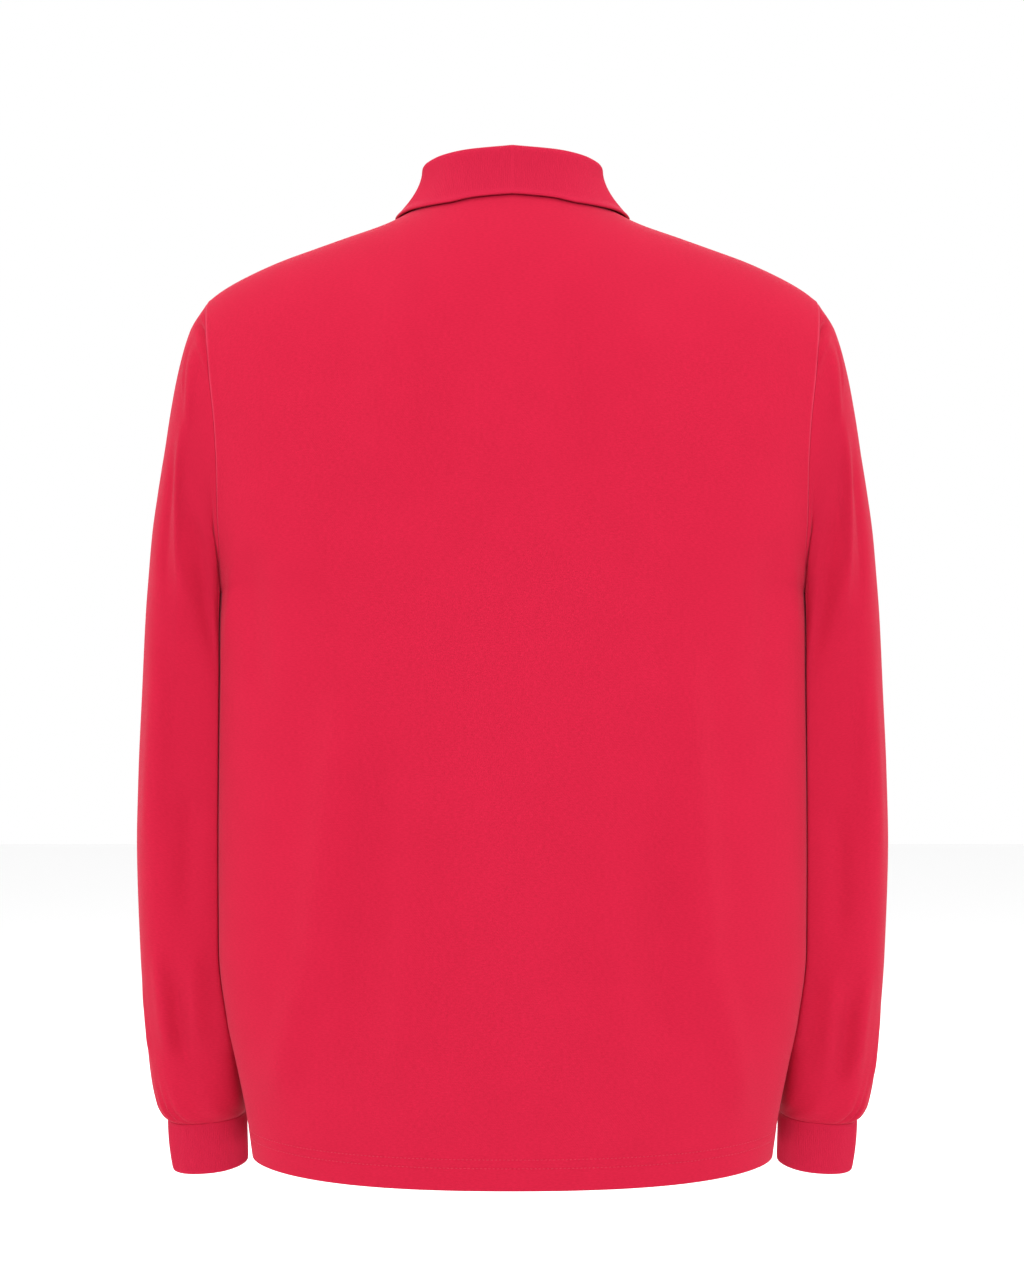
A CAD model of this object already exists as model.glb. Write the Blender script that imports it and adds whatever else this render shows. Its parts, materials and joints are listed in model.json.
"""The looks of a long sleeve polo shirt, dressed over its fixed solids.

Every solid of the shirt is replaced by fine cloth on the same form: knitted walls with soft folds,
rounded edges, ribs and sewing. Metres, +Z up. The shirt faces -Y, and the wearer's left is +X. The
origin is the middle of the neck base, level with the high points of the two shoulders.
"""
import json
import math

import bmesh
import bpy
import numpy as np
from bpy.props import FloatProperty, FloatVectorProperty, PointerProperty
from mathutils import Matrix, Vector

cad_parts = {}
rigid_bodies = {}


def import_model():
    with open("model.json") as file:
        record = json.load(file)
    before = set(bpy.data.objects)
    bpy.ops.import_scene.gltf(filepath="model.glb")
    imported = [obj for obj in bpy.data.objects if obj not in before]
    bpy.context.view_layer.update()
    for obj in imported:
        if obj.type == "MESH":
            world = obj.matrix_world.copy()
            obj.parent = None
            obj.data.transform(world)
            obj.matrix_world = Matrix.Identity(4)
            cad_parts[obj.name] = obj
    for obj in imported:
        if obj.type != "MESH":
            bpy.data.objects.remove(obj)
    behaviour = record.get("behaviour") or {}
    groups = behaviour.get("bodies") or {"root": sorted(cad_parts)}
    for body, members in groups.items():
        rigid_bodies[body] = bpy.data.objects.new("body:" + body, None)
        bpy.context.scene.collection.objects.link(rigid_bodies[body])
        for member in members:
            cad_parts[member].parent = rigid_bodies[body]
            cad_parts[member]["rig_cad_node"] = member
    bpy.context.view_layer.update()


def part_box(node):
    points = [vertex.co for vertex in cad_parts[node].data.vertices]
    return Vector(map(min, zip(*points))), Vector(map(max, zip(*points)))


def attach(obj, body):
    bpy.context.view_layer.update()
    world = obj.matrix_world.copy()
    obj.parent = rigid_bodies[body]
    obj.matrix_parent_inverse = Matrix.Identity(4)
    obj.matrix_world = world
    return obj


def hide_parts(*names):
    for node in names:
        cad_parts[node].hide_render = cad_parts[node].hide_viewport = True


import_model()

bl_info = {
    "name": "Long sleeve polo shirt",
    "version": (1, 0, 0),
    "blender": (4, 5, 0),
    "location": "3D View > Sidebar > Polo shirt",
    "description": "Builds the cloth, ribs, sewing and buttons of a polo shirt, and a plain studio",
    "category": "Mesh",
}


def table(columns, *rows):
    """A short table: one array for each named column."""
    return dict(zip(columns.split(), np.array(rows, float).T))


# Cloth
PIQUE = 0.0015
RIB = 0.0020
SEAM = 0.0003

# Body, as its solids have it
BACK, FRONT = 1, -1
HEM_Z = -0.723
HEM_RISE = 0.005
UNDERARM_Z = -0.290
BODY = table(
    "z      half_width  back_depth  front_depth  squareness",
    (-0.723, 0.1975, 0.115, 0.109, 2.15),
    (-0.688, 0.2025, 0.1155, 0.11, 2.2),
    (-0.647, 0.2105, 0.116, 0.111, 2.3),
    (-0.616, 0.217, 0.116, 0.112, 2.4),
    (-0.56, 0.2235, 0.1165, 0.113, 2.5),
    (-0.4, 0.224, 0.1175, 0.1145, 2.7),
    (-0.29, 0.223, 0.118, 0.115, 2.8),
)
CHEST_DEPTH = {BACK: 0.1180, FRONT: 0.1150}
CENTRE_ROUNDNESS = {BACK: 2.6, FRONT: 2.0}
EDGE_ROUNDNESS = 2.4
ARMHOLE_SHARE = 0.593
BELOW_RIDGE = 0.9999    # the form has no depth on the shoulder's very ridge, and is taken just below it
REACH = table(
    "rise half_width squareness",
    (0, 0.223, 2.8),
    (0.08, 0.2245, 2.86),
    (0.25, 0.2335, 2.95),
    (0.5, 0.2445, 3),
    (0.75, 0.265, 3),
    (0.9, 0.28, 3),
    (1, 0.291, 3),
)
CENTRE_DROP = 0.05      # the cloth faces away from points on the middle line, this much further down
SHOULDER_HALF_WIDTH = 0.2320
RIDGE = table(
    "x     z",
    (0, 0.03),
    (0.03, 0.024),
    (0.05, 0.015),
    (0.074, 0.002),
    (0.096, -0.0088),
    (0.125, -0.019),
    (0.15, -0.0278),
    (0.175, -0.0368),
    (0.195, -0.0455),
    (0.213, -0.0547),
    (0.225, -0.0625),
    (0.232, -0.069),
)
NECK_HALF_WIDTH = 0.0740
NECK_DEPTH = {BACK: 0.0580, FRONT: 0.0850}

# Left sleeve, by how far down its outer edge lies
SLEEVE = table(
    "down   outer_x inner_x inner_z  middle_y half_depth tilt roundness",
    (0.069, 0.232, 0.223, -0.29, -0.002, 0.072, 0, 4.5),
    (0.088, 0.2444, 0.2243, -0.2945, -0.004, 0.0705, 0, 4.5),
    (0.1186, 0.2536, 0.225, -0.3, -0.006, 0.069, 0, 4.5),
    (0.149, 0.2597, 0.2252, -0.307, -0.008, 0.068, 0, 4.5),
    (0.18, 0.2651, 0.225, -0.316, -0.01, 0.067, 0, 4.5),
    (0.2105, 0.2704, 0.2246, -0.328, -0.012, 0.0655, 0, 4.5),
    (0.241, 0.275, 0.224, -0.342, -0.0135, 0.064, 0.5, 4.5),
    (0.272, 0.278, 0.223, -0.358, -0.015, 0.0625, 1, 4.5),
    (0.302, 0.2807, 0.222, -0.376, -0.017, 0.0615, 1.5, 4.5),
    (0.3636, 0.2844, 0.22, -0.414, -0.021, 0.06, 2, 4.5),
    (0.4254, 0.288, 0.218, -0.46, -0.0255, 0.058, 2.5, 4.5),
    (0.4875, 0.29, 0.216, -0.51, -0.03, 0.0555, 3, 4.5),
    (0.5656, 0.2885, 0.213, -0.577, -0.037, 0.052, 3.5, 4.5),
    (0.6288, 0.2848, 0.21, -0.633, -0.0425, 0.048, 4, 4),
    (0.6606, 0.2821, 0.208, -0.66, -0.045, 0.0455, 4.5, 3.3),
    (0.683, 0.2781, 0.2065, -0.68, -0.047, 0.043, 4.5, 2.8),
    (0.6925, 0.2735, 0.207, -0.6885, -0.0475, 0.039, 4.5, 2.5),
    (0.6973, 0.2693, 0.2085, -0.6927, -0.048, 0.0345, 4.5, 2.4),
)
SLEEVE_TOP = SLEEVE["down"][0]
SLEEVE_END = SLEEVE["down"][-1]
TIGHTER = 2.0           # the cloth lies closer to the body than the solids, and turns in more sharply
FAN = 0.16
ARMHOLE_GAP = 0.0001    # between the edges of a sleeve and of the body at the armhole seam
SEAM_FREE = 0.010       # at the armhole seam it isn't pushed off the body, and fully so this far down
BODY_CLEARANCE = 0.0004
CLEARANCE_SOFTNESS = 0.0010
SIDE_TOP = 0.95         # the body's side is carried on no narrower than at this rise
LEAN = 0.100            # how strongly the inner side of a sleeve is drawn up against the body
LEAN_HEIGHTS = (-0.640, -0.580, -0.250, -0.190)     # it leans from here, fully between, up to here
TUCK = 0.24             # near the underarm, its inner side is this much shallower
TUCK_Z = -0.290
TUCK_REACH = 0.055
WORN_LINE_TOP = -0.245  # from here down, the body is lighter along the line where the sleeve touches it
CUFF_FREE = dict(outer_x=0.2655, outer_z=-0.7365, inner_x=0.2073, inner_z=-0.7320,
                 middle_y=-0.0495, half_depth=0.0335, tilt=4.5, roundness=2.2)
CUFF_SWELL = 0.0009     # the cuff bulges by this much half way down
CUFF_FLAT = 0.0030      # its ribs are flatter this near to its edges

# Collar, by the angle round the neck from the centre back
COLLAR = table(
    "angle  fold_x fold_y   fold_z   edge_x  edge_y",
    (0, 0, 0.0555, 0.0422, 0, 0.063),
    (30, 0.0335, 0.049, 0.04, 0.0375, 0.0585),
    (60, 0.056, 0.03, 0.0375, 0.068, 0.0405),
    (90, 0.0645, 0, 0.036, 0.0885, 0),
    (115, 0.06, -0.034, 0.019, 0.087, -0.033),
    (140, 0.045, -0.064, -0.012, 0.072, -0.064),
    (160, 0.024, -0.08, -0.037, 0.054, -0.083),
    (177, 0.005, -0.088, -0.054, 0.035, -0.0945),
)
COLLAR_SEAT = 0.0012
STAND_LINES = (0, 0.02, 0.06, 0.15, 0.32, 0.5, 0.68, 0.85)      # shares of the way up to the fold
FOLD_RADIUS = 0.0035
FALL_FLARE = 1.8
FALL_CLEARANCE = 0.0009
PLAIN_EDGE = 0.0045     # the collar's free edge is knitted plain over this width
PLAIN_LINE = 0.0038     # an extra line of points lies in it
RIB_START = 0.0009      # just before it, its ribs die out over this length
COLLAR_FLAT = 0.0020    # they are flatter this near to the neck seam
COLLAR_END = 0.0015     # and this near to the collar's two ends
COLLAR_RIM = np.array((0.0002, 0.0006, 0.0012))     # extra lines of points at those ends
EDGE_BEAD = 0.00022     # a thicker course runs along the free edge
EDGE_BEAD_PLACE = 0.0018
EDGE_BEAD_WIDTH = 0.0012

# Placket and buttons
PLACKET_HALF_WIDTH = 0.0160
BUTTON_RADIUS = 0.0057
BUTTON_THICKNESS = 0.0026
BUTTON_RIM = 0.0009
BUTTON_DISH = 0.0006
HOLE_RADIUS = 0.0009
HOLE_OFFSET = 0.0013

# Sewing
HEM_ROWS = (0.0165, 0.0228)     # the two needle rows of the hem, over its edge
HEM_BAND = 0.00022              # the turned-up hem lifts the cloth by this much
HEM_BAND_EDGE = 0.0010          # and sinks back over this height at the upper row
SEWN_DIP = 0.00022              # a needle row pulls the cloth in by this much
DIP_REACH = 0.0011
DIP_LINES = (-0.0012, -0.0006, 0.0, 0.0006, 0.0012)     # extra lines of points beside a needle row
DIP_CLEAR = 0.0019              # the others keep this far off it
TOPSTITCH_INSET = 0.0020
BOX_HEIGHT = 0.0180
TOPSTITCH_SHARE = 0.85          # the placket's stitches are this much shorter than the hem's
BUTTONHOLE_HALF_LENGTH = 0.0072
BUTTONHOLE_HALF_WIDTH = 0.0010
BAR_LENGTH, BAR_RADIUS = 0.0013, 0.00022        # one stitch round a buttonhole
SIDE_BARS, END_BARS = 34, 7     # how many of them lie along each side and across each end
END_BAR_OFFSET = 0.0002
THREAD_LENGTH, THREAD_RADIUS = 0.0030, 0.00030  # one strand of thread over a button
THREAD_LIFT, THREAD_SPREAD = 0.00025, 0.0004
STITCH_SHARE = 0.78             # a stitch shows on the cloth over this share of its pitch
SEAM_BEAD = 0.00055     # the turned allowance lifts the cloth beside the armhole seam by this much
SEAM_BEAD_PLACE = 0.0030
SEAM_BEAD_WIDTH = 0.0016
SEAM_WORN = 0.0028      # beside a side seam the cloth is lighter over this width

# Fineness of the cloth
RIM = np.array((0.0032, 0.0020, 0.0012, 0.0006, 0.0002, 0.0))   # extra lines of points at an edge
RIM_RADIUS = 0.0010
RIM_LEFT = 0.45         # share of the wall's thickness that is left at its very edge
SEAM_LEFT = 0.85        # the same, beside an armhole or side seam
SEAM_OVERLAP = 0.00006  # the panels run this far past the side and shoulder seams, so no light comes through
SOFTENED = 0.045        # the body's form is evened out this far over and under the underarm
EVENINGS = 80           # and this many times
PANEL_HALF_COLUMNS = 66
PANEL_LOWER_ROWS = 96
PANEL_UPPER_ROWS = 66
SLEEVE_COLUMNS = 166
INNER_CROWDING = 0.4    # the columns of a sleeve crowd towards its inner side
SLEEVE_FINE, SLEEVE_COARSE = 0.0017, 0.0036     # distances of the rings of a sleeve
CAP_FINE, CUFF_FINE, FINE_GAP = 0.080, 0.048, 0.002     # the fine rings reach this far from its two ends
STRIP_COLUMNS, STRIP_ROW = 18, 0.0022
POINTS_PER_RIB = 4
RIB_FLATNESS = 0.25
DENSE = 1 - (1 - np.linspace(0, 1, 400)) ** 2.6

# Soft folds of the body: a ridge, or a trough where its height is negative, along a line from its
# head to its foot. They are placed by eye, and no two are alike.
BACK_FOLDS = table(
    "head_x  head_z  foot_x  foot_z  half_width height",
    (0.118, -0.33, 0.15, -0.6, 0.015, 0.007),
    (0.15, -0.56, 0.178, -0.67, 0.013, 0.0048),
    (0.1, -0.38, 0.112, -0.64, 0.015, -0.0048),
    (-0.124, -0.31, -0.145, -0.61, 0.014, 0.0066),
    (-0.146, -0.56, -0.172, -0.68, 0.012, 0.0042),
    (-0.102, -0.42, -0.111, -0.64, 0.015, -0.0045),
    (0.078, -0.49, 0.084, -0.67, 0.013, 0.0042),
    (-0.076, -0.47, -0.08, -0.66, 0.014, 0.0039),
    (0.05, -0.44, 0.047, -0.64, 0.015, -0.0028),
    (-0.042, -0.41, -0.048, -0.63, 0.016, -0.0025),
    (0.088, -0.06, 0.096, -0.22, 0.017, 0.0045),
    (-0.092, -0.07, -0.101, -0.21, 0.018, 0.0042),
    (0.052, -0.06, 0.058, -0.26, 0.015, -0.0042),
    (-0.043, -0.05, -0.05, -0.25, 0.014, -0.0039),
    (0.008, -0.08, 0.006, -0.24, 0.016, 0.0022),
    (0.206, -0.262, 0.213, -0.335, 0.004, 0.0022),
    (0.194, -0.25, 0.186, -0.38, 0.01, -0.0036),
    (-0.206, -0.255, -0.211, -0.33, 0.005, 0.002),
    (-0.192, -0.245, -0.183, -0.4, 0.011, -0.0034),
)
FRONT_FOLDS = table(
    "head_x  head_z  foot_x  foot_z  half_width height",
    (0.125, -0.3, 0.144, -0.62, 0.016, 0.0068),
    (-0.118, -0.33, -0.15, -0.6, 0.014, 0.007),
    (0.1, -0.43, 0.104, -0.66, 0.015, -0.0044),
    (-0.093, -0.38, -0.105, -0.64, 0.015, -0.0042),
    (0.062, -0.27, 0.07, -0.56, 0.017, 0.0039),
    (-0.056, -0.28, -0.066, -0.61, 0.016, 0.0044),
    (0.172, -0.17, 0.126, -0.3, 0.011, -0.0047),
    (-0.174, -0.16, -0.123, -0.29, 0.012, -0.0049),
    (0.188, -0.2, 0.15, -0.35, 0.009, 0.0039),
    (-0.19, -0.19, -0.148, -0.33, 0.01, 0.0036),
    (0.014, -0.25, 0.022, -0.42, 0.011, -0.0031),
    (-0.018, -0.25, -0.028, -0.39, 0.01, 0.0026),
    (0.022, -0.52, 0.028, -0.68, 0.014, 0.0029),
    (-0.015, -0.54, -0.019, -0.69, 0.013, -0.0026),
)
# Folds of a sleeve: down its outer edge, and round it from that edge, positive behind
SLEEVE_FOLDS = table(
    "head_down head_round foot_down foot_round half_width height",
    (0.078, 0.024, 0.06, 0.084, 0.003, 0.0014),
    (0.08, 0.033, 0.058, 0.1, 0.0022, -0.003),
    (0.08, 0.044, 0.058, 0.11, 0.0036, -0.0024),
    (0.081, 0.046, 0.06, 0.124, 0.0028, 0.003),
    (0.086, 0.044, 0.11, 0.078, 0.0026, 0.0014),
    (0.078, 0.06, 0.108, 0.106, 0.01, 0.0026),
    (0.105, 0.094, 0.255, 0.108, 0.01, 0.0036),
    (0.13, 0.132, 0.29, 0.122, 0.009, -0.0032),
    (0.14, 0.08, 0.27, 0.078, 0.009, -0.0028),
    (0.15, 0.03, 0.26, 0.034, 0.007, -0.002),
    (0.31, 0.072, 0.49, 0.056, 0.011, 0.0032),
    (0.41, 0.094, 0.53, 0.083, 0.009, -0.0028),
    (0.55, 0.059, 0.645, 0.0545, 0.006, 0.0036),
    (0.545, 0.087, 0.635, 0.078, 0.009, 0.003),
    (0.57, 0.072, 0.645, 0.066, 0.006, -0.0028),
    (0.58, 0.024, 0.65, 0.03, 0.006, 0.0024),
    (0.08, -0.03, 0.058, -0.096, 0.0026, -0.002),
    (0.083, -0.044, 0.06, -0.115, 0.003, 0.002),
    (0.1, -0.06, 0.15, -0.1, 0.009, 0.0026),
    (0.14, -0.09, 0.3, -0.1, 0.009, 0.0036),
    (0.29, -0.03, 0.35, -0.09, 0.007, -0.0038),
    (0.325, -0.028, 0.385, -0.085, 0.007, 0.0038),
    (0.36, -0.028, 0.42, -0.08, 0.007, -0.0032),
    (0.56, -0.05, 0.64, -0.056, 0.007, 0.0034),
    (0.59, -0.075, 0.66, -0.064, 0.006, -0.0028),
)
OUTLINE_CALM = 0.006    # the folds fade out this near to the outline of the sleeve from behind
PUCKER_START = 0.003    # the folds reach their full height this far from the armhole seam
FOLD_FADE = 0.03        # those of the body fade out this near to the side seams
FOLD_START, FOLD_END = 0.15, 0.35       # how steeply a fold rises from its ends
# Gathers over the cuff: where round the sleeve, how far up they run, how wide and high they are
GATHERS = table(
    "round   reach   half_width height",
    (0.012, 0.018, 0.004, -0.0006),
    (0.024, 0.022, 0.004, 0.0006),
    (0.0335, 0.02, 0.0024, 0.0012),
    (0.0375, 0.03, 0.002, -0.0015),
    (0.041, 0.022, 0.0022, 0.0011),
    (0.0446, 0.028, 0.0022, -0.0013),
    (0.05, 0.03, 0.004, 0.0008),
    (0.063, 0.03, 0.006, -0.0006),
    (0.078, 0.036, 0.006, 0.0007),
    (0.093, 0.028, 0.006, -0.0006),
    (-0.008, 0.02, 0.003, 0.0008),
    (-0.018, 0.026, 0.0028, -0.001),
    (-0.026, 0.022, 0.0026, 0.0011),
    (-0.035, 0.03, 0.0026, -0.0013),
    (-0.044, 0.024, 0.003, 0.0011),
    (-0.056, 0.028, 0.004, -0.001),
    (-0.07, 0.034, 0.005, 0.001),
    (-0.086, 0.026, 0.005, -0.0009),
)
GATHER_START, GATHER_PEAK = 4, 1.3      # how soon over the seam they rise, and how high

# The grain of the cloth, as shares of its colour in its darkest and lightest yarn
GRAIN_DARK = (0.79, 0.66, 0.67)
GRAIN_LIGHT = (1.19, 1.32, 1.31)
SHEEN_TINT = (1.0, 0.48, 0.58, 1)
RIB_LOOP = 0.00075      # size of one stitch of the rib knit

# Camera: level with the middle of the shirt, straight behind it
IMAGE_HEIGHT = 1286
PIXEL = 0.000765        # size of one of its pixels in the plane of the shoulders
CAMERA_DISTANCE = 2.0
CAMERA_Z = -0.3274
CAMERA_X = 0.0004
SENSOR = 24.0           # height of the sensor in millimetres
FLOOR_Z = -1.02
FLOOR_HALF_SIZE = 7.0
LIT_POINT = (0, 0, -0.35)


# Numbers and surfaces

def smooth(rows, key, column, value):
    """One column of a table where its key column has this value, on a curve that never overshoots."""
    x, y = rows[key], rows[column]
    value = np.clip(value, x[0], x[-1])
    steps = np.diff(x)
    slopes = np.diff(y) / steps
    before, after = slopes[:-1], slopes[1:]
    same_way = before * after > 0
    total = np.where(same_way, before + after, 1)
    middle = np.where(same_way, 2 * before * after / total, 0)
    tangents = np.concatenate([slopes[:1], middle, slopes[-1:]])
    i = np.clip(np.searchsorted(x, value) - 1, 0, len(x) - 2)
    t = (value - x[i]) / steps[i]
    return (y[i] * (1 + 2 * t) * (1 - t) ** 2 + tangents[i] * steps[i] * t * (1 - t) ** 2
            + y[i + 1] * t * t * (3 - 2 * t) + tangents[i + 1] * steps[i] * t * t * (t - 1))


def falloff(ratio, power):
    """The superellipse: 1 where the ratio is 0, and 0 where it is 1."""
    return np.clip(1 - np.abs(ratio) ** power, 0, 1) ** (1 / power)


def ease(value):
    """The value kept between 0 and 1, with soft ends."""
    value = np.clip(value, 0, 1)
    return value * value * (3 - 2 * value)


def bell(distance, width):
    """1 where the distance is 0, and nearly 0 beyond twice the width."""
    return np.exp(-(distance / width) ** 2)


def bisect(function, low, high):
    """Where falling functions of an array of values are zero."""
    for _ in range(40):
        middle = (low + high) / 2
        above = function(middle) > 0
        low = np.where(above, middle, low)
        high = np.where(above, high, middle)
    return (low + high) / 2


def lengths(points):
    """The length along a line of points, from its start to each of them."""
    steps = np.linalg.norm(np.diff(points, axis=0), axis=1)
    return np.concatenate([[0], np.cumsum(steps)])


def along(points, wanted, values=None):
    """The points, or values that belong to them, at the wanted lengths along a line of points."""
    have = lengths(points)
    values = points if values is None else values
    return np.stack([np.interp(wanted, have, column) for column in values.T], axis=1)


def grid_lengths(grid, axis):
    """How far each point of a grid lies along its line of points."""
    steps = np.diff(grid, axis=axis, prepend=grid.take([0], axis))
    return np.cumsum(np.linalg.norm(steps, axis=2), axis=axis)


def lower_points(side, t, z):
    depth = smooth(BODY, "z", "back_depth" if side == BACK else "front_depth", z)
    depth = depth * falloff(t, smooth(BODY, "z", "squareness", z))
    return np.stack([t * smooth(BODY, "z", "half_width", z), side * depth, z], axis=-1)


def squareness(rise):
    return smooth(REACH, "rise", "squareness", rise)


def armhole_share(rise):
    inside = np.minimum(rise, BELOW_RIDGE)
    return ARMHOLE_SHARE * falloff(2 * inside - 1, EDGE_ROUNDNESS) / falloff(inside, EDGE_ROUNDNESS)


def armhole_x(rise):
    def cut(r):
        return smooth(REACH, "rise", "half_width", r) * falloff(armhole_share(r), squareness(r))
    return cut(rise) + (SHOULDER_HALF_WIDTH - cut(1.0)) * rise ** 4


def upper_depth(side, x, rise):
    """How far the body stands from the plane of the shoulders, above the underarm."""
    edge_x = armhole_x(rise)
    power = squareness(rise)
    reach = edge_x / falloff(armhole_share(rise), power)
    across = np.minimum(np.abs(x) / edge_x, 1)
    roundness = CENTRE_ROUNDNESS[side] + (EDGE_ROUNDNESS - CENTRE_ROUNDNESS[side]) * across ** 2
    return CHEST_DEPTH[side] * falloff(rise, roundness) * falloff(x / reach, power)


def upper_height(x, rise):
    return UNDERARM_Z + (smooth(RIDGE, "x", "z", np.abs(x)) - UNDERARM_Z) * rise


def upper_points(side, t, rise):
    x = t * armhole_x(rise)
    return np.stack([x, side * upper_depth(side, x, rise), upper_height(x, rise)], axis=-1)


def shoulder_height(x, y):
    """The height of the body's upper surface over points of the plan."""
    back, front = (bisect(lambda rise, side=side: upper_depth(side, x, rise) - np.abs(y),
                          np.zeros_like(x), np.ones_like(x)) for side in (BACK, FRONT))
    return upper_height(x, np.where(y >= 0, back, front))


def on_shoulder(x, y, lift):
    """The points that stand a little off the body's upper surface, over points of the plan."""
    step = 0.002
    slope_x = (shoulder_height(x + step, y) - shoulder_height(x - step, y)) / (2 * step)
    slope_y = (shoulder_height(x, y + step) - shoulder_height(x, y - step)) / (2 * step)
    normals = np.stack([-slope_x, -slope_y, np.ones_like(x)], axis=-1)
    normals /= np.linalg.norm(normals, axis=-1, keepdims=True)
    return np.stack([x, y, shoulder_height(x, y)], axis=-1) + lift * normals


def past_neckline(side, x, y):
    return (x / NECK_HALF_WIDTH) ** 2 + (y / NECK_DEPTH[side]) ** 2 - 1


def neck_rise(side, t_at, count):
    """How far up each column of a panel goes before the neckline cuts it."""
    def outside(rise):
        points = upper_points(side, t_at(rise), rise)
        return past_neckline(side, points[:, 0], points[:, 1])
    top = bisect(outside, np.full(count, 0.3), np.ones(count))
    beyond = np.abs(t_at(np.ones(count))) * SHOULDER_HALF_WIDTH >= NECK_HALF_WIDTH
    return np.where(beyond, 1.0, top)


def column_t(section):
    """Where the columns of half a panel cross a section of it, evenly along the cloth."""
    length = lengths(section[:, :2])
    even = np.linspace(0, length[-1] - RIM[0], PANEL_HALF_COLUMNS, endpoint=False)
    return np.interp(np.concatenate([even, length[-1] - RIM]), length, DENSE)


def ridges(folds, keys, a, b):
    """The height of all soft folds of a table at points with the coordinates a and b."""
    height = np.zeros_like(a)
    for k in range(len(folds["height"])):
        head_a, head_b, foot_a, foot_b = (folds[key][k] for key in keys)
        run_a, run_b = foot_a - head_a, foot_b - head_b
        run = math.hypot(run_a, run_b)
        part = ((a - head_a) * run_a + (b - head_b) * run_b) / run ** 2
        aside = ((a - head_a) * run_b - (b - head_b) * run_a) / run
        taper = ease(np.minimum(part, 1 - part) / FOLD_END + FOLD_START)
        height += folds["height"][k] * taper * bell(aside, folds["half_width"][k])
    return height


# Walls of cloth

def grid_normals(grid, closed=False, centres=None):
    if closed:
        around = np.roll(grid, -1, axis=1) - np.roll(grid, 1, axis=1)
        centres = grid.mean(axis=1, keepdims=True)
    else:
        around = np.gradient(grid, axis=1)
    normals = np.cross(np.gradient(grid, axis=0), around)
    if centres is not None:
        outward = np.sum(normals * (grid - centres), axis=2, keepdims=True)
        normals = normals * np.where(outward < 0, -1, 1)
    return normals / np.linalg.norm(normals, axis=2, keepdims=True)


def flatten(normals, where, axis):
    """Turn some normals into the plane of a seam, so that the wall ends square on it."""
    axis = np.asarray(axis, float)
    flat = normals[where] - np.sum(normals[where] * axis, axis=-1, keepdims=True) * axis
    normals[where] = flat / np.linalg.norm(flat, axis=-1, keepdims=True)


def rounding(distance, left=RIM_LEFT):
    """How full the wall is at a distance from its edge, where it is rounded off."""
    inward = np.clip(1 - distance / RIM_RADIUS, 0, 1)
    return left + (1 - left) * np.sqrt(1 - inward ** 2)


def rim_distance(count):
    """The distance of each line of points of a grid from the rims at its two ends."""
    distance = np.full(count, 1.0)
    distance[:len(RIM)] = RIM[::-1]
    distance[-len(RIM):] = RIM
    return distance


def cells(grid):
    """The four corners of each cell of a grid."""
    corners = np.stack([grid[:-1, :-1], grid[:-1, 1:], grid[1:, 1:], grid[1:, :-1]], axis=2)
    return corners.reshape(-1, *corners.shape[2:])


def build_wall(name, grid, normals, thickness, fullness, cloth, look, closed=False, inset=None):
    """One closed wall under a grid of points, with its edges rounded and its cloth coordinates.

    inset is how far each point lies from a seam whose edge has worn lighter.
    """
    half = normals * (thickness / 2)
    middle = grid - half
    half = half * fullness[..., None]
    points = np.concatenate([(middle + half).reshape(-1, 3), (middle - half).reshape(-1, 3)])
    outer = np.arange(normals[..., 0].size).reshape(normals.shape[:2])
    if closed:
        outer = np.concatenate([outer, outer[:, :1]], axis=1)
    inner = outer + normals[..., 0].size
    if inset is None:
        inset = np.ones(cloth.shape[:2])
    cloth = np.concatenate([cloth, inset[..., None]], axis=-1)
    strips = [(outer, cloth, 1), (inner, cloth, -1)]
    edges = [(np.s_[0], -1), (np.s_[-1], 1)]
    if not closed:
        edges += [(np.s_[:, 0], 1), (np.s_[:, -1], -1)]
    for edge, turn in edges:
        strips.append((np.stack([outer[edge], inner[edge]]), np.stack([cloth[edge]] * 2), turn))
    faces = np.concatenate([cells(places)[:, ::turn] for places, _, turn in strips])
    uv = np.concatenate([cells(lying)[:, ::turn] for _, lying, turn in strips])
    first = points[faces[0]]
    if np.dot(np.cross(first[1] - first[0], first[2] - first[1]), normals[0, 0]) < 0:
        faces, uv = faces[:, ::-1], uv[:, ::-1]
    return add_wall(name, points, faces, look, uv.reshape(-1, 3))


def place(name, data):
    """An object in the scene with that mesh, lamp or camera."""
    thing = bpy.data.objects.new(name, data)
    bpy.context.scene.collection.objects.link(thing)
    return thing


def add_wall(name, points, faces, look, coordinates):
    data = bpy.data.meshes.new(name)
    data.from_pydata(points.tolist(), [], faces.tolist())
    for layer_name, picked in (("cloth", (0, 1)), ("inset", (2, 2))):
        layer = data.uv_layers.new(name=layer_name)
        layer.data.foreach_set("uv", coordinates[:, picked].astype(np.float32).ravel())
    data.shade_smooth()
    data.materials.append(look)
    data.validate()
    piece = place(name, data)
    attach(piece, "root")
    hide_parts(name)
    return piece


# Body

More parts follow.
